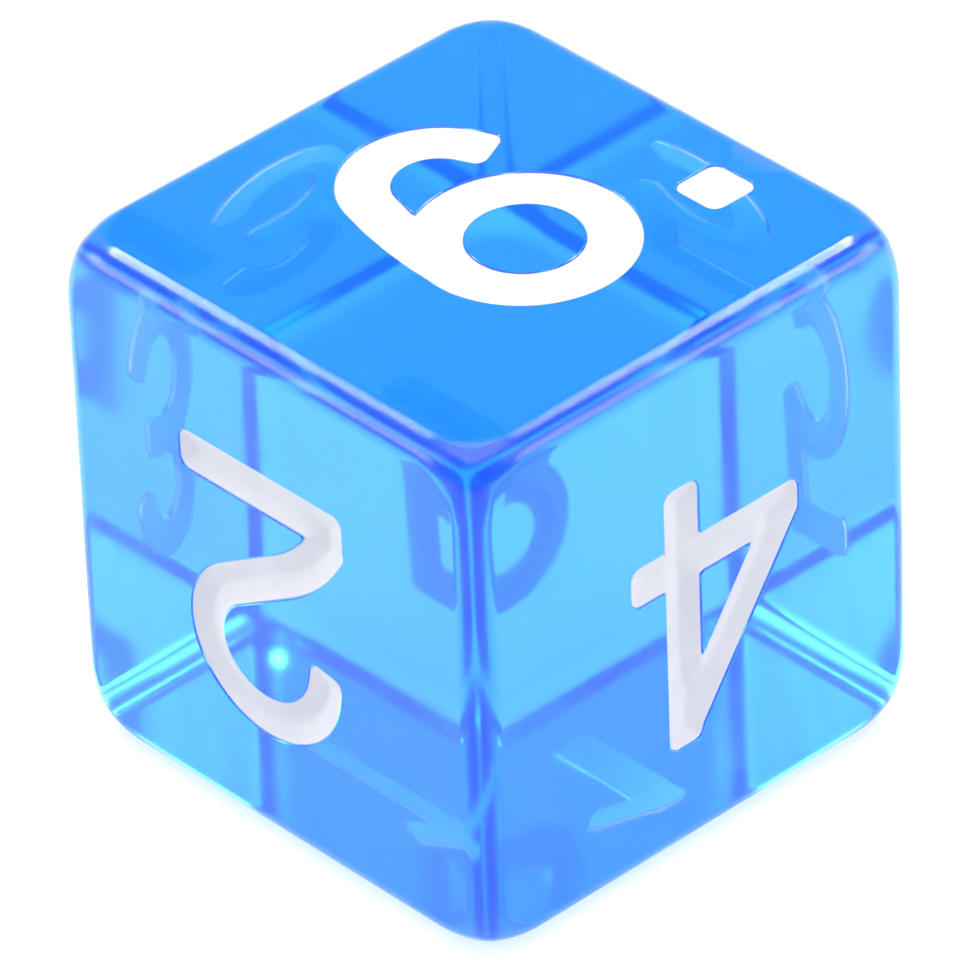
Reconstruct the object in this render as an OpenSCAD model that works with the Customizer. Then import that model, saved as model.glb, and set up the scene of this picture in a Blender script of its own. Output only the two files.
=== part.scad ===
// Numeral die: a six-sided die moulded in clear tinted resin, with a numeral engraved in each face and
// a paint inlay in each engraving. Opposite faces add up to seven: 6 is on top and 1 underneath,
// 2 faces -Y, 5 faces +Y, 4 faces +X and 3 faces -X. The die rests on Z = 0, centred on the Z axis.

/* [Cube] */
// Size of the cube from face to face
cube_size = 16; // [12:0.5:24]
// Radius of the rounding along each edge
edge_radius = 0.8; // [0.4:0.05:0.8]
// How far each corner is worn back from a sharp point, along the cube's diagonal
corner_wear = 0.9; // [0.6:0.05:0.9]
// Radius of the ball that each worn corner is part of
corner_radius = 3.25; // [3.25:0.25:6]

/* [Numerals] */
// Stroke width of the numerals 1 to 5
stroke_width = 1.2; // [0.9:0.05:1.4]
// Stroke width of the 6, which is cut a little bolder
six_stroke_width = 1.45; // [1:0.05:1.6]
// Radius of the corners at the end of a stroke
stroke_end_radius = 0.3; // [0.15:0.05:0.4]
// Side of the square mark beside the 6
mark_size = 1.6; // [1:0.1:2]
// Depth of the engraving below the face
engraving_depth = 0.35; // [0.35:0.05:0.8]

/* [Paint] */
// Gap between the face and the rim of the paint
paint_drop = 0.04; // [0.02:0.01:0.1]
// Width of the rim of paint that clings to the wall of the engraving
paint_rim = 0.2; // [0.1:0.05:0.25]
// How much lower the paint lies inside its rim
paint_dish = 0.15; // [0.05:0.01:0.2]

/* [Which way up each numeral is cut] */
// Turn of the 1 on the bottom face
turn_one = 270; // [0:90:270]
// Turn of the 2 on the -Y face
turn_two = 180; // [0:90:270]
// Turn of the 3 on the -X face
turn_three = 180; // [0:90:270]
// Turn of the 4 on the +X face
turn_four = 180; // [0:90:270]
// Turn of the 5 on the +Y face
turn_five = 180; // [0:90:270]
// Turn of the 6 on the top face
turn_six = 90; // [0:90:270]

/* [Hidden] */

$fn = 96;

// The numerals are drawn for a 16 mm die and grow with the cube
drawn_cube_size = 16;
k = cube_size / drawn_cube_size;

half_cube = cube_size / 2;
corner_centre = half_cube - (corner_wear + corner_radius) / sqrt(3);
half_stroke = stroke_width / 2;
half_six_stroke = six_stroke_width / 2;
cut_overrun = 0.5;
cut_height = engraving_depth + cut_overrun;
fill_height = engraving_depth - paint_drop;
dish_height = paint_dish + cut_overrun;

// Turns that carry the drawing plane from the top face to each other face
to_bottom = [180, 0, 0];
to_front = [90, 0, 0];
to_back = [90, 0, 180];
to_right = [90, 0, 90];
to_left = [90, 0, -90];

// Each numeral is a list of strokes and each stroke is [start, steps]. The start is [x, y, heading] of
// the stroke's centreline. A step [radius, turn] is an arc that turns left (+) or right (-) by that many
// degrees, and a step [length, 0] is a straight.
ONE = [
    [[0.4, -3.6, 90], [[7.2, 0]]],
    [[-1.2, 2.5, 35], [[1.5, 0]]]
];
TWO = [
    [[-1.97, 1.95, 81], [[2.36, -125], [1.9, -105], [2.5, 0], [5.2, 27]]],
    [[-2.3, -3.4, 0], [[5, 0]]]
];
THREE = [
    [[-1.55, 2.55, 68], [[1.7, -248], [0.6, 0]]],
    [[-0.6, 0.2, 0], [[0.6, 0], [1.9, -245]]]
];
FOUR = [
    [[0.6, -3.2, 90], [[7.15, 0]]],
    [[-3.05, -1.37, 0], [[4.9, 0]]],
    [[-2.85, -0.9, 55], [[5.6, 0]]]
];
FIVE = [
    [[-1.5, 3.6, 0], [[3.2, 0]]],
    [[-1.52, 3.3, -94], [[3.1, 0]]],
    [[-1.7, 0.1, 48], [[2.15, -255]]]
];
SIX = [
    [[-1.94, -1.25, 90], [[14, -17], [2, -140]]]
];
six_bowl_centre = [0.42, -1.25];
six_bowl_radius = 2.38;
mark_position = [5.55, -3.15];
arc_step = 5;
end_arc_step = 15;

// Pose of the pen, [x, y, heading], after one step of a stroke
function after(pose, step) =
    let (length = step[0] * k, turn = step[1], side = sign(turn), heading = pose[2])
    turn == 0
        ? [pose[0] + length * cos(heading), pose[1] + length * sin(heading), heading]
        : [pose[0] + side * length * (sin(heading + turn) - sin(heading)),
           pose[1] + side * length * (cos(heading) - cos(heading + turn)), heading + turn];

// Pose of the pen after the first i steps of a stroke
function pose_at(stroke, i) =
    i == 0
        ? [stroke[0][0] * k, stroke[0][1] * k, stroke[0][2]]
        : after(pose_at(stroke, i - 1), stroke[1][i - 1]);

// Poses of the pen along a whole stroke, every arc_step degrees or less where it turns
function poses_along(stroke) = concat(
    [pose_at(stroke, 0)],
    [for (i = [0:len(stroke[1]) - 1])
        let (start = pose_at(stroke, i), step = stroke[1][i], parts = max(1, ceil(abs(step[1]) / arc_step)))
        for (j = [1:parts])
            after(start, [step[0], step[1] * j / parts])]);

// Point that a pose's own axes put at [x, y], with X along its heading
function from_pose(pose, x, y) =
    [pose[0] + x * cos(pose[2]) - y * sin(pose[2]), pose[1] + x * sin(pose[2]) + y * cos(pose[2])];

// Square end of a stroke with rounded corners, from the left side of a pose round to its right side
function end_points(pose, half_width) =
    let (corner = min(stroke_end_radius, half_width / 2), straight = half_width - corner)
    [for (side = [1, -1])
        for (angle = side > 0 ? [90:-end_arc_step:0] : [0:-end_arc_step:-90])
            from_pose(pose, straight + corner * cos(angle), side * straight + corner * sin(angle))];

// Outline of one stroke: along its left side, round its end, back along its right side, round its start
module stroke_outline(stroke, half_width)
{
    poses = poses_along(stroke);
    last = len(poses) - 1;
    polygon(concat(
        [for (i = [0:last]) from_pose(poses[i], 0, half_width)],
        end_points(poses[last], half_width),
        [for (i = [last:-1:0]) from_pose(poses[i], 0, -half_width)],
        end_points([poses[0][0], poses[0][1], poses[0][2] + 180], half_width)));
}

// Block in the shape of a numeral, standing on the plane of the drawing
module numeral_block(numeral, half_width, height)
{
    for (stroke = numeral)
        linear_extrude(height)
            stroke_outline(stroke, half_width);
}

module six_block(half_width, height)
{
    difference() {
        union() {
            numeral_block(SIX, half_width, height);
            translate(six_bowl_centre * k)
                cylinder(r = six_bowl_radius * k + half_width, h = height);
        }
        translate(concat(six_bowl_centre * k, -cut_overrun))
            cylinder(r = six_bowl_radius * k - half_width, h = height + 2 * cut_overrun);
    }
}

// Puts something drawn on the plane Z = 0, outside upwards, onto a face of the cube
module on_face(to_face, turn)
{
    translate([0, 0, half_cube])
        rotate(to_face)
            translate([0, 0, half_cube])
                rotate(turn)
                    children();
}

// The mark is a square with rounded corners
module mark_block(size, height)
{
    corner = min(stroke_end_radius, size / 4);
    straight = size / 2 - corner;
    translate(concat(mark_position * k, height / 2)) {
        cube([size, 2 * straight, height], center = true);
        cube([2 * straight, size, height], center = true);
        for (x = [-straight, straight], y = [-straight, straight])
            translate([x, y])
                cylinder(r = corner, h = height, center = true);
    }
}

// Paint that fills an engraving up to its rim, less the dish inside the rim. The first child is the
// block that fills the engraving and the second the block that the dish takes away.
module paint_fill()
{
    color("white")
        difference() {
            translate([0, 0, -engraving_depth])
                children(0);
            translate([0, 0, -paint_drop - paint_dish])
                children(1);
        }
}

module numeral_paint(numeral)
{
    paint_fill() {
        numeral_block(numeral, half_stroke, fill_height);
        numeral_block(numeral, half_stroke - paint_rim, dish_height);
    }
}

// Plain cube with every edge rounded to edge_radius
module rounded_cube()
{
    inner = half_cube - edge_radius;
    for (to_axis = [[0, 0, 0], [90, 0, 0], [0, 90, 0]])
        rotate(to_axis) {
            cube([2 * inner, 2 * inner, cube_size], center = true);
            for (x = [-inner, inner], y = [-inner, inner])
                translate([x, y])
                    cylinder(r = edge_radius, h = 2 * inner, center = true);
        }
    for (x = [-inner, inner], y = [-inner, inner], z = [-inner, inner])
        translate([x, y, z])
            sphere(edge_radius);
}

// What tumbling takes off the eight corners of the cube
module corner_waste()
{
    side = half_cube + cut_overrun - corner_centre;
    for (x = [-1, 1], y = [-1, 1], z = [-1, 1])
        difference() {
            translate([x, y, z] * (corner_centre + side / 2))
                cube(side, center = true);
            translate([x, y, z] * corner_centre)
                sphere(corner_radius);
        }
}

// Puts a block that is sunk to the floor of the engraving on a face
module engraved_face(to_face, turn)
{
    on_face(to_face, turn)
        translate([0, 0, -engraving_depth])
            children();
}

module die_body()
{
    color("dodgerblue", 0.6)
        difference() {
            translate([0, 0, half_cube])
                difference() {
                    rounded_cube();
                    corner_waste();
                }
            engraved_face(to_bottom, turn_one) numeral_block(ONE, half_stroke, cut_height);
            engraved_face(to_front, turn_two) numeral_block(TWO, half_stroke, cut_height);
            engraved_face(to_left, turn_three) numeral_block(THREE, half_stroke, cut_height);
            engraved_face(to_right, turn_four) numeral_block(FOUR, half_stroke, cut_height);
            engraved_face(to_back, turn_five) numeral_block(FIVE, half_stroke, cut_height);
            engraved_face([0, 0, 0], turn_six) six_block(half_six_stroke, cut_height);
            engraved_face([0, 0, 0], turn_six) mark_block(mark_size, cut_height);
        }
}

module paint_one()
{
    on_face(to_bottom, turn_one)
        numeral_paint(ONE);
}

module paint_two()
{
    on_face(to_front, turn_two)
        numeral_paint(TWO);
}

module paint_three()
{
    on_face(to_left, turn_three)
        numeral_paint(THREE);
}

module paint_four()
{
    on_face(to_right, turn_four)
        numeral_paint(FOUR);
}

module paint_five()
{
    on_face(to_back, turn_five)
        numeral_paint(FIVE);
}

module paint_six()
{
    on_face([0, 0, 0], turn_six)
        paint_fill() {
            six_block(half_six_stroke, fill_height);
            six_block(half_six_stroke - paint_rim, dish_height);
        }
}

module paint_six_mark()
{
    on_face([0, 0, 0], turn_six)
        paint_fill() {
            mark_block(mark_size, fill_height);
            mark_block(mark_size - 2 * paint_rim, dish_height);
        }
}

die_body();
paint_one();
paint_two();
paint_three();
paint_four();
paint_five();
paint_six();
paint_six_mark();
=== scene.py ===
"""Numeral die in clear blue resin, with white paint in its engraved numerals, in soft studio light.

The CAD frame gives the die's size and the outline of each numeral. From those the script builds a finer
resin body and paint: rounded edges, worn corners, softened lips and a groove down each painted stroke.
Lengths are in millimetres until a mesh is made, and then in metres.
"""

import math

import bpy
import numpy as np
from mathutils import Matrix, Vector
from mathutils.geometry import delaunay_2d_cdt


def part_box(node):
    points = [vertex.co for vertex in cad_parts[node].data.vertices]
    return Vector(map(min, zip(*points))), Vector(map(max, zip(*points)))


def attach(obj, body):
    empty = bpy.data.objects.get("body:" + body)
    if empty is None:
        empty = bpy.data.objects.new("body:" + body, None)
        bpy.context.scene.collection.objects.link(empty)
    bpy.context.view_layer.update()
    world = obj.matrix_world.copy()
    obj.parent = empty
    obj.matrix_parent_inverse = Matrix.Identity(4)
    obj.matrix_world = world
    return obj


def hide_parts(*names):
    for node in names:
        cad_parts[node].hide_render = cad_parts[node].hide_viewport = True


MM = 0.001

# The die's rounding. The edges are as in the CAD model. Each corner is worn back to a plane across it, and
# the plane is blended into the rounded edges over this distance, which takes off a little more.
EDGE_RADIUS = 0.8
CORNER_WEAR = 0.8
CORNER_BLEND = 0.7

# The engraving and its paint. The groove's power is 1 for straight sides, and the rim levels are the
# distances from the outline at which loops of points follow it just inside.
LIP_RADIUS = 0.07
PAINT_DROP = 0.04
PAINT_THICKNESS = 0.04
PAINT_OVERLAP = 0.012
GROOVE_POWER = 1.05
RIM_LEVELS = [-0.03, -0.08]

# How finely the meshes are divided. A contour with no more than the fewest crossings is left out.
OUTLINE_GRID = 0.05
OUTLINE_BLUR = 0.05
OUTLINE_MARGIN = 0.8
CONTOUR_SPACING = 0.1
PAINT_SPACING = 0.11
FILLET_STEPS = 8
LIP_STEPS = 4
FEWEST_CROSSINGS = 8
FEWEST_LOOP_POINTS = 12

# Lines across a face, from its middle out: coarse ones, one between, then fine ones up to the rounding.
# In the corner zone, beyond this distance both ways, every crossing of two lines is kept.
COARSE_LINES = [0, 2, 4, 5]
LAST_COARSE_LINE = 5.6
FINE_START = 6.0
FINE_SPACING = 0.15
FINE_END_GAP = 0.05
CORNER_ZONE = 5.5

# The sharp cube's surface is drawn in towards a core this far below each face, by repeated halving
CORE_DEPTH = 3
HALVINGS = 45

# Points in one cell of this size are one point; the shift keeps round positions off the cells' walls
WELD_STEP = 1e-4
WELD_SHIFT = 0.318
# A triangle outside a straight stretch of an outline is no deeper than this
SLIVER = 1e-5
# The triangulation joins points that are closer than this
JOIN_DISTANCE = 1e-7
# Slack in telling which CAD points lie on a paint's floor, and which points lie on or inside the first rim
FLOOR_TOLERANCE = 0.01
RIM_TOLERANCE = 0.005
# Loose points of the paint keep this far inside the last rim
RIM_CLEARANCE = 0.04
# A length that counts as none, and twice the area of a triangle that counts as none
TINY = 1e-9
NO_AREA = 1e-12
# Taken as the distance of a point that lies off an outline's grid
FAR = 9.0

# Each face: the direction it looks in, the two directions in it, and its paint nodes
FACES = [
    ((0, 0, 1), (1, 0, 0), (0, 1, 0), ["paint_six", "paint_six_mark"]),
    ((0, 0, -1), (1, 0, 0), (0, -1, 0), ["paint_one"]),
    ((0, -1, 0), (1, 0, 0), (0, 0, 1), ["paint_two"]),
    ((0, 1, 0), (-1, 0, 0), (0, 0, 1), ["paint_five"]),
    ((1, 0, 0), (0, 1, 0), (0, 0, 1), ["paint_four"]),
    ((-1, 0, 0), (0, -1, 0), (0, 0, 1), ["paint_three"]),
]


class Face:
    """One face of the die, with its own flat coordinates u and v, and h as height above the face."""

    def __init__(self, normal, u_axis, v_axis, nodes, half, centre):
        self.nodes = nodes
        self.axes = np.array([u_axis, v_axis, normal], float)
        self.half = half
        self.centre = centre

    def flatten(self, points):
        """World points in mm as rows of [u, v, h]."""
        local = (np.asarray(points, float) - self.centre) @ self.axes.T
        local[:, 2] -= self.half
        return local

    def place(self, local):
        """Rows of [u, v, h] as world points in mm."""
        local = np.array(local, float)
        local[:, 2] += self.half
        return local @ self.axes + self.centre

    def turn(self, vectors):
        """Directions in the face's own axes as world directions."""
        return np.asarray(vectors, float) @ self.axes


def chain_loops(edges):
    """Closed loops of points from undirected edges that each join two point keys."""
    neighbours = {}
    for a, b in edges:
        neighbours.setdefault(a, []).append(b)
        neighbours.setdefault(b, []).append(a)
    loops = []
    unused = set(neighbours)
    while unused:
        start = min(unused)
        loop = [start]
        unused.discard(start)
        while True:
            onward = [p for p in neighbours[loop[-1]] if p in unused]
            if not onward:
                break
            loop.append(onward[0])
            unused.discard(onward[0])
        if len(loop) > 2:
            loops.append(np.array(loop, float))
    return loops


def engraved_outline(face, node):
    """Loops of the outline of a paint node, read from the edge of its flat floor, and its depth."""
    mesh = node.data
    points = face.flatten([np.array(v.co) / MM for v in mesh.vertices])
    floor = points[:, 2].min()
    keys = [tuple(np.round(p[:2], 3)) for p in points]
    count = {}
    mesh.calc_loop_triangles()
    for triangle in mesh.loop_triangles:
        corners = triangle.vertices
        if all(points[i, 2] < floor + FLOOR_TOLERANCE for i in corners):
            for a, b in ((0, 1), (1, 2), (2, 0)):
                edge = tuple(sorted((keys[corners[a]], keys[corners[b]])))
                if edge[0] != edge[1]:
                    count[edge] = count.get(edge, 0) + 1
    return chain_loops([edge for edge, uses in count.items() if uses == 1]), -floor


class OutlineField:
    """Distance to a set of outline loops, negative inside them, on a fine grid with slight blur."""

    def __init__(self, loops):
        everything = np.vstack(loops)
        self.low = everything.min(0) - OUTLINE_MARGIN
        high = everything.max(0) + OUTLINE_MARGIN
        counts = np.ceil((high - self.low) / OUTLINE_GRID).astype(int) + 1
        self.us = self.low[0] + OUTLINE_GRID * np.arange(counts[0])
        self.vs = self.low[1] + OUTLINE_GRID * np.arange(counts[1])
        grid = np.stack(np.meshgrid(self.us, self.vs, indexing="ij"), -1).reshape(-1, 2)
        distance = self.exact(grid, loops).reshape(counts)
        self.values = self.blurred(distance)

    @staticmethod
    def exact(points, loops):
        """Distance to the nearest edge of the loops, with the sign found by counting crossings."""
        nearest = np.full(len(points), np.inf)
        inside = np.zeros(len(points), bool)
        px, py = points[:, 0], points[:, 1]
        for loop in loops:
            for a, b in zip(loop, np.roll(loop, -1, axis=0)):
                along = b - a
                share = np.clip(((points - a) @ along) / (along @ along), 0, 1)
                gap = points - a - share[:, None] * along
                nearest = np.minimum(nearest, (gap**2).sum(1))
                if a[1] != b[1]:
                    crosses = (a[1] > py) != (b[1] > py)
                    at = a[0] + (py - a[1]) / (b[1] - a[1]) * (b[0] - a[0])
                    inside ^= crosses & (px < at)
        return np.where(inside, -1, 1) * np.sqrt(nearest)

    @staticmethod
    def blurred(values):
        """The grid's values smoothed with a bell curve along each axis in turn."""
        reach = int(math.ceil(3 * OUTLINE_BLUR / OUTLINE_GRID))
        steps = np.arange(-reach, reach + 1) * OUTLINE_GRID
        kernel = np.exp(-(steps**2) / (2 * OUTLINE_BLUR**2))
        kernel /= kernel.sum()
        for axis in (0, 1):
            ends = [(reach, reach) if i == axis else (0, 0) for i in (0, 1)]
            padded = np.pad(values, ends, mode="edge")
            values = sum(
                weight * np.take(padded, np.arange(i, i + values.shape[axis]), axis=axis)
                for i, weight in enumerate(kernel)
            )
        return values

    def at(self, points):
        """Distance at any points, far outside the grid taken as far from the outline."""
        place = (np.asarray(points, float) - self.low) / OUTLINE_GRID
        top = np.array(self.values.shape) - 1
        outside = np.any((place < 0) | (place > top), axis=1)
        place = np.clip(place, 0, top - TINY)
        cell = place.astype(int)
        fu, fv = (place - cell).T
        i, j = cell.T
        value = (
            self.values[i, j] * (1 - fu) * (1 - fv)
            + self.values[i + 1, j] * fu * (1 - fv)
            + self.values[i, j + 1] * (1 - fu) * fv
            + self.values[i + 1, j + 1] * fu * fv
        )
        return np.where(outside, FAR, value)

    def slope(self, points):
        """Unit direction in which the distance grows."""
        points = np.asarray(points, float)
        step = OUTLINE_GRID
        du = self.at(points + [step, 0]) - self.at(points - [step, 0])
        dv = self.at(points + [0, step]) - self.at(points - [0, step])
        direction = np.stack([du, dv], 1)
        length = np.linalg.norm(direction, axis=1, keepdims=True)
        return direction / np.maximum(length, TINY)

    def contour(self, level):
        """Evenly spaced closed loops along which the distance has one value."""
        shifted = self.values - level
        shifted = np.where(shifted == 0, TINY, shifted)
        edges = []
        for i, j in zip(*np.nonzero(self.straddling(shifted))):
            edges += self.cell_edges(shifted, int(i), int(j))
        loops = [loop.astype(int) for loop in chain_loops(edges) if len(loop) > FEWEST_CROSSINGS]
        return [even_loop(np.array([self.crossing(shifted, key) for key in loop])) for loop in loops]

    @staticmethod
    def straddling(shifted):
        """Which cells have corners on both sides of the contour."""
        positive = (shifted > 0).astype(int)
        total = positive[:-1, :-1] + positive[1:, :-1] + positive[:-1, 1:] + positive[1:, 1:]
        return (total > 0) & (total < 4)

    @staticmethod
    def cell_edges(shifted, i, j):
        """Pairs of crossed grid edges in a cell. A grid edge is (i, j, 0) along u or (i, j, 1) along v."""
        sides = [(i, j, 0), (i + 1, j, 1), (i, j + 1, 0), (i, j, 1)]
        crossed = []
        for side in sides:
            a = shifted[side[0], side[1]]
            b = shifted[side[0] + 1 - side[2], side[1] + side[2]]
            if (a > 0) != (b > 0):
                crossed.append(side)
        return list(zip(crossed[::2], crossed[1::2]))

    def crossing(self, shifted, key):
        """Point where the contour crosses a grid edge."""
        i, j, way = key
        a = shifted[i, j]
        b = shifted[i + 1 - way, j + way]
        share = a / (a - b)
        along = share * OUTLINE_GRID
        return [self.us[i] + (1 - way) * along, self.vs[j] + way * along]


def even_loop(loop):
    """A closed loop redrawn with evenly spaced points."""
    closed = np.vstack([loop, loop[:1]])
    length = np.concatenate([[0], np.cumsum(np.linalg.norm(np.diff(closed, axis=0), axis=1))])
    count = max(FEWEST_LOOP_POINTS, int(round(length[-1] / CONTOUR_SPACING)))
    at = np.arange(count) / count * length[-1]
    return np.stack([np.interp(at, length, closed[:, k]) for k in (0, 1)], 1)


def triangulate(points, loops):
    """Points and Delaunay triangles over loose points and closed loops, whose edges are kept."""
    coords = list(points)
    edges = []
    for loop in loops:
        first = len(coords)
        coords += list(loop)
        edges += [(first + i, first + (i + 1) % len(loop)) for i in range(len(loop))]
    result = delaunay_2d_cdt([Vector(c) for c in coords], edges, [], 0, JOIN_DISTANCE)
    return np.array([list(v) for v in result[0]]), np.array(result[2])


def oriented(points, triangles):
    """Triangles turned so that each runs anticlockwise."""
    a, b, c = (points[triangles[:, k]] for k in range(3))
    area = (b[:, 0] - a[:, 0]) * (c[:, 1] - a[:, 1]) - (b[:, 1] - a[:, 1]) * (c[:, 0] - a[:, 0])
    turned = triangles.copy()
    turned[area < 0] = turned[area < 0][:, ::-1]
    return turned[np.abs(area) > NO_AREA]


# The resin body


def die_distance(points, half):
    """Roughly the distance from the die's outer surface, for points measured from the cube's centre."""
    away = np.abs(points)
    over = away - (half - EDGE_RADIUS)
    cube = np.linalg.norm(np.maximum(over, 0), axis=1) + np.minimum(over.max(1), 0) - EDGE_RADIUS
    worn = (away.sum(1) - 3 * half) / math.sqrt(3) + CORNER_WEAR
    blend = np.maximum(CORNER_BLEND - np.abs(cube - worn), 0) ** 2 / (4 * CORNER_BLEND)
    return np.maximum(cube, worn) + blend


def die_normals(points, half):
    """Directions in which the distance grows, outwards from the die."""
    step = 1e-4
    shifts = step * np.eye(3)
    rise = [die_distance(points + s, half) - die_distance(points - s, half) for s in shifts]
    normals = np.stack(rise, 1)
    return normals / np.linalg.norm(normals, axis=1, keepdims=True)


def drape(flat, half):
    """Points of the sharp cube's top, [u, v], drawn in to the rounded die. Returns places and normals."""
    core = half - CORE_DEPTH
    sharp = np.column_stack([flat, np.full(len(flat), half)])
    inner = np.clip(sharp, -core, core)
    low = np.zeros(len(flat))
    high = np.ones(len(flat))
    for _ in range(HALVINGS):
        middle = (low + high) / 2
        outside = die_distance(inner + middle[:, None] * (sharp - inner), half) > 0
        high = np.where(outside, middle, high)
        low = np.where(outside, low, middle)
    places = inner + high[:, None] * (sharp - inner)
    flat_there = die_distance(sharp, half) < TINY
    places[flat_there] = sharp[flat_there]
    normals = die_normals(places, half)
    normals[flat_there] = (0, 0, 1)
    return places, normals


def edge_lines(half):
    """Positions across a face where its grid has lines, with even steps round the rounded edge."""
    core = half - CORE_DEPTH
    angles = np.linspace(0, math.pi / 4, FILLET_STEPS + 1)
    reach = half - EDGE_RADIUS - core
    across = (reach + EDGE_RADIUS * np.sin(angles)) / (reach + EDGE_RADIUS * np.cos(angles))
    fine = np.arange(FINE_START, half - EDGE_RADIUS - FINE_END_GAP, FINE_SPACING)
    positive = np.concatenate([COARSE_LINES, [LAST_COARSE_LINE], fine, core + CORE_DEPTH * across])
    return np.concatenate([-positive[:0:-1], positive])


def face_points(half):
    """Points of a face's grid: all of them near its edges and corners, few of them in its middle."""
    lines = edge_lines(half)
    u, v = (g.ravel() for g in np.meshgrid(lines, lines, indexing="ij"))
    outer = np.maximum(np.abs(u), np.abs(v))
    inner = np.minimum(np.abs(u), np.abs(v))
    coarse = np.isin(inner, COARSE_LINES) & np.isin(outer, COARSE_LINES)
    keep = (outer >= half - EDGE_RADIUS - TINY) | (inner > CORNER_ZONE) | coarse
    return np.column_stack([u, v])[keep]


def lip_levels():
    """Distance from the outline, height and tilt of normal down the softened lip of an engraving."""
    angles = np.linspace(0, math.pi / 2, LIP_STEPS + 1)
    return [(LIP_RADIUS * (1 - math.sin(a)), -LIP_RADIUS * (1 - math.cos(a)), a) for a in angles]


def groove_height(distance, half_width, depth):
    """Height of the paint's surface, falling from the lip of an engraving to the middle of a stroke."""
    share = np.clip(-distance / half_width, 0, 1)
    fall = depth - PAINT_DROP - PAINT_THICKNESS
    return -PAINT_DROP - fall * (1 - (1 - share) ** GROOVE_POWER)


def groove_normals(flat, field, depth):
    """Directions that the paint's surface looks in, from its rise over a short step each way."""
    step = 0.03
    half_width = -field.values.min()
    rises = [
        groove_height(field.at(flat + shift), half_width, depth)
        - groove_height(field.at(flat - shift), half_width, depth)
        for shift in ([step, 0], [0, step])
    ]
    normals = np.column_stack([-rises[0] / (2 * step), -rises[1] / (2 * step), np.ones(len(flat))])
    return normals / np.linalg.norm(normals, axis=1, keepdims=True)


def groove_points(field):
    """Loose points inside an outline and the loops that run close inside it."""
    us = np.arange(field.us[0], field.us[-1], PAINT_SPACING)
    vs = np.arange(field.vs[0], field.vs[-1], PAINT_SPACING * math.sqrt(3) / 2)
    grid = np.array([(u + (k % 2) * PAINT_SPACING / 2, v) for k, v in enumerate(vs) for u in us])
    grid = grid[field.at(grid) < RIM_LEVELS[-1] - RIM_CLEARANCE]
    return grid, [loop for level in RIM_LEVELS for loop in field.contour(level)]


def engraved_face(face, fields, depth):
    """Places, normals and triangles of one face of the resin with its engraving, in the face's axes."""
    lips = [
        (loop, level, field)
        for field in fields
        for level in lip_levels()
        for loop in field.contour(level[0])
    ]
    beds = [(field, *groove_points(field)) for field in fields]
    loose = face_points(face.half)
    distance = np.min([field.at(loose) for field in fields], axis=0)
    loose = loose[distance > LIP_RADIUS + CONTOUR_SPACING]
    loose = np.vstack([loose] + [grid for _, grid, _ in beds])
    rims = [loop for _, _, loops in beds for loop in loops]
    flat, triangles = triangulate(loose, [loop for loop, _, _ in lips] + rims)
    triangles = oriented(flat, triangles)
    places, normals = drape(flat, face.half)
    first = len(loose)
    for loop, (_, height, tilt), field in lips:
        rows = slice(first, first + len(loop))
        places[rows, 2] = face.half + height
        normals[rows, :2] = -field.slope(loop) * math.sin(tilt)
        normals[rows, 2] = math.cos(tilt)
        first += len(loop)
    for field, _, _ in beds:
        rows = field.at(flat) < RIM_LEVELS[0] + RIM_TOLERANCE
        bed = groove_height(field.at(flat[rows]), -field.values.min(), depth) - PAINT_THICKNESS
        places[rows, 2] = face.half + bed
        normals[rows] = groove_normals(flat[rows], field, depth)
    return places, normals, triangles


def new_mesh_object(name, places, normals, triangles, material):
    """A smooth object from places in mm."""
    mesh = bpy.data.meshes.new(name)
    mesh.from_pydata((places * MM).tolist(), [], triangles.tolist())
    mesh.materials.append(material)
    mesh.polygons.foreach_set("use_smooth", np.ones(len(mesh.polygons), bool))
    mesh.update()
    mesh.normals_split_custom_set_from_vertices(normals.tolist())
    piece = bpy.data.objects.new(name, mesh)
    bpy.context.scene.collection.objects.link(piece)
    return piece


def weld(places, normals, triangles):
    """Joins points that lie in one place, and averages their normals."""
    keys = np.floor(places / WELD_STEP + WELD_SHIFT).astype(np.int64)
    _, first, index = np.unique(keys, axis=0, return_index=True, return_inverse=True)
    index = index.ravel()
    summed = np.zeros((len(first), 3))
    np.add.at(summed, index, normals)
    summed /= np.linalg.norm(summed, axis=1, keepdims=True)
    joined = index[triangles]
    whole = np.all(joined != np.roll(joined, 1, axis=1), axis=1)
    return places[first], summed, joined[whole]


def build_body(faces, outlines, depth, material):
    """The resin, from its six engraved faces."""
    parts = []
    first = 0
    for face in faces:
        fields = [outlines[node] for node in face.nodes]
        places, normals, triangles = engraved_face(face, fields, depth)
        places = places @ face.axes + face.centre
        parts.append((places, face.turn(normals), triangles + first))
        first += len(places)
    places, normals, triangles = (np.vstack(column) for column in zip(*parts))
    piece = new_mesh_object("resin_body", *weld(places, normals, triangles), material)
    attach(piece, "root")
    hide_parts("die_body")


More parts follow.
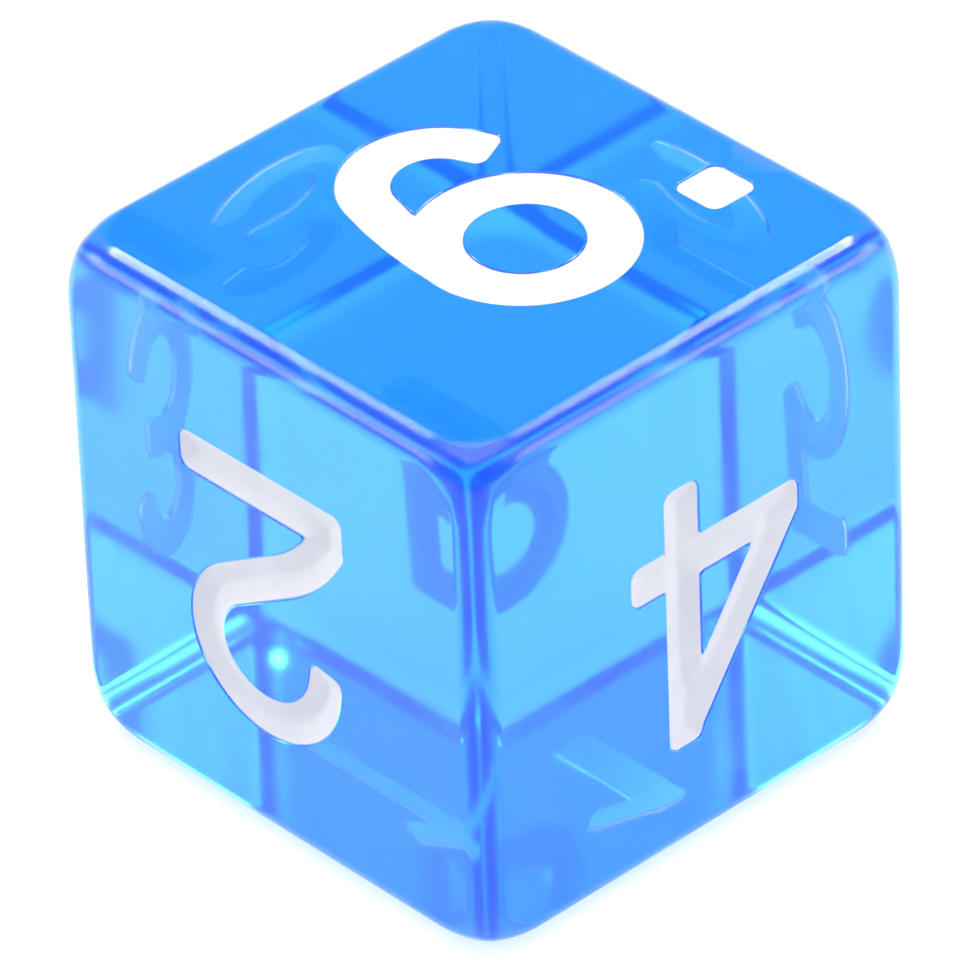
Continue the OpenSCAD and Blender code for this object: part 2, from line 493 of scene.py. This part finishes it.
def build_paint(face, node, field, depth, material, back_material):
    """A thin coat of paint that follows the groove, closed by an under side and a wall round its edge."""
    edge_loops = field.contour(PAINT_OVERLAP)
    grid, rim_loops = groove_points(field)
    flat, triangles = triangulate(grid, rim_loops + edge_loops)
    triangles = oriented(flat, triangles)
    triangles = triangles[OutlineField.exact(flat[triangles].mean(1), edge_loops) < -SLIVER]
    height = groove_height(field.at(flat), -field.values.min(), depth)
    top_normals = groove_normals(flat, field, depth)
    top = np.column_stack([flat, height])
    under = np.column_stack([flat, height - PAINT_THICKNESS - PAINT_OVERLAP])
    count = len(flat)
    walls = []
    first = count - sum(len(loop) for loop in edge_loops)
    for loop in edge_loops:
        ring = first + np.arange(len(loop))
        onward = np.roll(ring, -1)
        walls.append(np.column_stack([ring, onward, onward + count]))
        walls.append(np.column_stack([ring, onward + count, ring + count]))
        first += len(loop)
    piece = new_mesh_object(
        node + "_fill",
        face.place(np.vstack([top, under])),
        face.turn(np.vstack([top_normals, -top_normals])),
        np.vstack([triangles, triangles[:, ::-1] + count] + walls),
        material,
    )
    # The under side and the wall take the paint_back material, which carries painted light and a painted
    # glow
    piece.data.materials.append(back_material)
    is_back = np.arange(len(piece.data.polygons)) >= len(triangles)
    piece.data.polygons.foreach_set("material_index", is_back.astype(int))
    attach(piece, "root")
    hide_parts(node)


# Materials and floor

# The floor's side in metres and its gap below the die in millimetres
FLOOR_SIZE = 3
FLOOR_GAP = 0.02


def new_material(name):
    """A material with its node tree, its shader and its output node."""
    material = bpy.data.materials.new(name)
    material.use_nodes = True
    tree = material.node_tree
    tree.nodes.clear()
    output = tree.nodes.new("ShaderNodeOutputMaterial")
    shader = tree.nodes.new("ShaderNodeBsdfPrincipled")
    tree.links.new(shader.outputs["BSDF"], output.inputs["Surface"])
    return material, tree, shader, output


def add_node(tree, kind, **settings):
    node = tree.nodes.new("ShaderNode" + kind)
    for name, value in settings.items():
        setattr(node, name, value)
    return node


def add_noise(tree, scale, detail, roughness=0.5):
    """Noise over the surface, with the scale given per metre of the die."""
    place = add_node(tree, "TexCoord")
    noise = add_node(tree, "TexNoise")
    noise.inputs["Scale"].default_value = scale
    noise.inputs["Detail"].default_value = detail
    noise.inputs["Roughness"].default_value = roughness
    tree.links.new(place.outputs["Object"], noise.inputs["Vector"])
    return noise.outputs[0]


def add_range(tree, value, from_low, from_high, to_low, to_high):
    """A value carried from one range to another and kept inside it."""
    ramp = add_node(tree, "MapRange")
    for socket, number in zip(ramp.inputs[1:5], (from_low, from_high, to_low, to_high)):
        socket.default_value = number
    tree.links.new(value, ramp.inputs[0])
    return ramp.outputs[0]


def add_math(tree, operation, a, b):
    """The result of an arithmetic operation on two values."""
    node = add_node(tree, "Math", operation=operation)
    tree.links.new(a, node.inputs[0])
    tree.links.new(b, node.inputs[1])
    return node.outputs[0]


def add_bump(tree, shader, height, depth):
    """Fine relief on a shader's surface, with its depth in mm."""
    bump = add_node(tree, "Bump")
    bump.inputs["Strength"].default_value = 1
    bump.inputs["Distance"].default_value = depth * MM
    tree.links.new(height, bump.inputs["Height"])
    tree.links.new(bump.outputs["Normal"], shader.inputs["Normal"])


def edge_wear(tree):
    """0 on the flat faces, rising to 1 on the rounded edges and corners, from the way the surface looks."""
    look = add_node(tree, "NewGeometry")
    size = add_node(tree, "VectorMath", operation="ABSOLUTE")
    split = add_node(tree, "SeparateXYZ")
    tree.links.new(look.outputs["Normal"], size.inputs[0])
    tree.links.new(size.outputs[0], split.inputs[0])
    largest = add_math(tree, "MAXIMUM", split.outputs[0], split.outputs[1])
    largest = add_math(tree, "MAXIMUM", largest, split.outputs[2])
    return add_range(tree, largest, 0.999, 0.93, 0, 1)


def resin_material():
    """Clear blue resin with faint ripples, a fine haze in patches, edges dulled by tumbling and a painted
    blue glow.
    """
    material, tree, shader, output = new_material("blue_resin")
    shader.inputs["Base Color"].default_value = (1, 1, 1, 1)
    shader.inputs["Transmission Weight"].default_value = 1
    shader.inputs["IOR"].default_value = 1.5
    haze = add_range(tree, add_noise(tree, 260, 3, 0.6), 0.4, 0.75, 0.07, 0.14)
    worn = add_range(tree, edge_wear(tree), 0, 1, 0, 0.1)
    tree.links.new(add_math(tree, "ADD", haze, worn), shader.inputs["Roughness"])
    add_bump(tree, shader, add_noise(tree, 160, 2), 0.012)
    depth = add_node(tree, "VolumeAbsorption")
    depth.inputs["Color"].default_value = (0.09, 0.71, 0.97, 1)
    depth.inputs["Density"].default_value = 185
    # Painted glow: the resin glows blue all through, standing in for the light that the dye scatters
    glow = add_node(tree, "Emission")
    glow.inputs["Color"].default_value = (0, 0.16, 1, 1)
    glow.inputs["Strength"].default_value = 22
    both = add_node(tree, "AddShader")
    tree.links.new(depth.outputs["Volume"], both.inputs[0])
    tree.links.new(glow.outputs["Emission"], both.inputs[1])
    tree.links.new(both.outputs["Shader"], output.inputs["Volume"])
    return material


def paint_material():
    """Matt white paint, brushed on by hand and wiped, so slightly uneven in tone, gloss and height."""
    material, tree, shader, _ = new_material("white_paint")
    uneven = add_noise(tree, 700, 4, 0.6)
    tone = add_node(tree, "Mix", data_type="RGBA")
    tree.links.new(add_range(tree, uneven, 0.3, 0.7, 0, 1), tone.inputs["Factor"])
    tone.inputs["A"].default_value = (0.57, 0.57, 0.61, 1)
    tone.inputs["B"].default_value = (0.52, 0.52, 0.565, 1)
    tree.links.new(tone.outputs["Result"], shader.inputs["Base Color"])
    tree.links.new(add_range(tree, uneven, 0.3, 0.7, 0.45, 0.65), shader.inputs["Roughness"])
    add_bump(tree, shader, uneven, 0.012)
    return material


def paint_back_material():
    """The side of the paint that faces into the resin. It is a lighter copy of the white paint with a glow:
    painted light that stands in for light through thin paint.
    """
    material, tree, shader, _ = new_material("paint_back")
    # Painted light: lighter than the paint's outer face
    shader.inputs["Base Color"].default_value = (0.85, 0.86, 0.9, 1)
    shader.inputs["Roughness"].default_value = 0.6
    # Painted glow, standing in for light through thin paint
    shader.inputs["Emission Color"].default_value = (0.05, 0.25, 1, 1)
    shader.inputs["Emission Strength"].default_value = 0.6
    add_bump(tree, shader, add_noise(tree, 700, 4, 0.6), 0.012)
    return material


def floor_material():
    """Plain floor that stays as pale as the room behind it."""
    material, _, shader, _ = new_material("pale_floor")
    shader.inputs["Base Color"].default_value = (0.45, 0.45, 0.45, 1)
    shader.inputs["Roughness"].default_value = 0.9
    shader.inputs["Specular IOR Level"].default_value = 0
    shader.inputs["Emission Color"].default_value = (1, 1, 1, 1)
    shader.inputs["Emission Strength"].default_value = 0.6
    return material


def build_floor(material):
    """A square floor just below the die, so that the two surfaces never share a plane."""
    mesh = bpy.data.meshes.new("floor")
    reach = FLOOR_SIZE / 2
    corners = [(-reach, -reach, 0), (reach, -reach, 0), (reach, reach, 0), (-reach, reach, 0)]
    mesh.from_pydata(corners, [], [(0, 1, 2, 3)])
    mesh.materials.append(material)
    floor = bpy.data.objects.new("floor", mesh)
    floor.location = (0, 0, -FLOOR_GAP * MM)
    bpy.context.scene.collection.objects.link(floor)


# Camera and light

# The camera looks at the die's centre, less the offset to the right and up. Angles are in degrees.
CAMERA_AZIMUTH = 47.7
CAMERA_ELEVATION = 35.34
CAMERA_ROLL = -2.26
CAMERA_DISTANCE = 286.3
CAMERA_LENS = 402
CAMERA_OFFSET = (0.28, 0.15)
SENSOR_WIDTH = 36


def build_camera(centre):
    azimuth, elevation, roll = (math.radians(x) for x in (CAMERA_AZIMUTH, CAMERA_ELEVATION, CAMERA_ROLL))
    flat = math.cos(elevation)
    back = Vector((math.sin(azimuth) * flat, -math.cos(azimuth) * flat, math.sin(elevation)))
    level = Vector((math.cos(azimuth), math.sin(azimuth), 0))
    rise = back.cross(level)
    right = level * math.cos(roll) + rise * math.sin(roll)
    up = back.cross(right)
    target = Vector(centre) - level * CAMERA_OFFSET[0] - rise * CAMERA_OFFSET[1]
    data = bpy.data.cameras.new("camera")
    data.sensor_width = SENSOR_WIDTH
    data.lens = CAMERA_LENS
    data.clip_start = 0.01
    data.clip_end = 10
    camera = bpy.data.objects.new("camera", data)
    turn = Matrix((right, up, back)).transposed().to_4x4()
    camera.matrix_world = Matrix.Translation((target + back * CAMERA_DISTANCE) * MM) @ turn
    bpy.context.scene.collection.objects.link(camera)
    bpy.context.scene.camera = camera


# Each patch of light: its colour, the ranges of x, y and z of its direction (None has no end) and the width
# of its soft edge. A patch covers the ones after it.
PATCHES = [
    ("right key", (2.4, 2.4, 2.4), (0.612, None), (0.2, None), (0.45, 0.9), 0.02),
    ("left key", (2.4, 2.4, 2.4), (None, -0.2), (None, -0.56), (0.45, 0.9), 0.02),
    ("right fill", (6, 6, 6), (0.3, None), (0.4, None), (0.12, 0.42), 0.03),
    ("left fill", (6, 6, 6), (None, -0.4), (None, -0.3), (0.12, 0.42), 0.03),
    ("left strip", (20, 20, 20), (-0.75, -0.632), (-0.15, 0.37), (0.68, None), 0.006),
    ("right strip", (20, 20, 20), (-0.37, 0.15), (0.58, 0.7), (0.68, None), 0.008),
    ("overhead", (3.2, 3.2, 3.2), (-0.45, 0.45), (-0.45, 0.45), (0.85, None), 0.06),
    ("backdrop", (0.25, 0.75, 0.8), (None, -0.2), (0.3, None), (0.3, 0.85), 0.05),
    ("camera side", (0.35, 0.45, 0.65), (0.1, None), (None, -0.1), (0.15, 0.85), 0.05),
    ("horizon", (1.02, 1.02, 1.02), (None, None), (None, None), (None, 0.05), 0.04),
]
ROOM_COLOUR = (0.6, 0.6, 0.6)


def build_world():
    """A pale room lit by the patches, which the die reflects and refracts."""
    world = bpy.data.worlds.new("studio")
    bpy.context.scene.world = world
    world.use_nodes = True
    tree = world.node_tree
    tree.nodes.clear()
    output = add_node(tree, "OutputWorld")
    background = add_node(tree, "Background")
    direction = add_node(tree, "TexCoord")
    split = add_node(tree, "SeparateXYZ")
    tree.links.new(direction.outputs["Generated"], split.inputs["Vector"])
    colour = add_node(tree, "RGB").outputs[0]
    colour.default_value = (*ROOM_COLOUR, 1)
    for name, tint, *ranges, softness in reversed(PATCHES):
        share = None
        for value, (low, high) in zip(split.outputs, ranges):
            for end, edge in ((low, softness), (high, -softness)):
                if end is not None:
                    inside = add_range(tree, value, end - edge, end + edge, 0, 1)
                    share = add_math(tree, "MULTIPLY", share, inside) if share else inside
        mix = add_node(tree, "Mix", data_type="RGBA", label=name)
        tree.links.new(share, mix.inputs["Factor"])
        tree.links.new(colour, mix.inputs["A"])
        mix.inputs["B"].default_value = (*tint, 1)
        colour = mix.outputs["Result"]
    tree.links.new(colour, background.inputs["Color"])
    tree.links.new(background.outputs["Background"], output.inputs["Surface"])


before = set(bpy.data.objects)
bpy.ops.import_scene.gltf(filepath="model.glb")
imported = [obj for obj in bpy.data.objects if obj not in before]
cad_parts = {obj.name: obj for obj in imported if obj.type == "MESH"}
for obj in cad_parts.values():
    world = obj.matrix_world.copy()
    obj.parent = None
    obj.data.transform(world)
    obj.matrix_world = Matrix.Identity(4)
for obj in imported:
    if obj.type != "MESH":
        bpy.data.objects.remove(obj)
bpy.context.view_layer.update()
low, high = (np.array(corner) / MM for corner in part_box("die_body"))
half = float((high - low)[0] / 2)
centre = (low + high) / 2

faces = [Face(*entry, half, centre) for entry in FACES]
outlines = {}
for face in faces:
    for name in face.nodes:
        loops, depth = engraved_outline(face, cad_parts[name])
        outlines[name] = OutlineField(loops)

resin = resin_material()
paint = paint_material()
paint_back = paint_back_material()
build_body(faces, outlines, depth, resin)
for face in faces:
    for name in face.nodes:
        build_paint(face, name, outlines[name], depth, paint, paint_back)

build_floor(floor_material())
build_camera(centre)
build_world()
bpy.context.scene.view_settings.view_transform = "Standard"
cycles = bpy.context.scene.cycles
cycles.max_bounces = 14
cycles.transmission_bounces = 14
cycles.glossy_bounces = 8
cycles.diffuse_bounces = 3
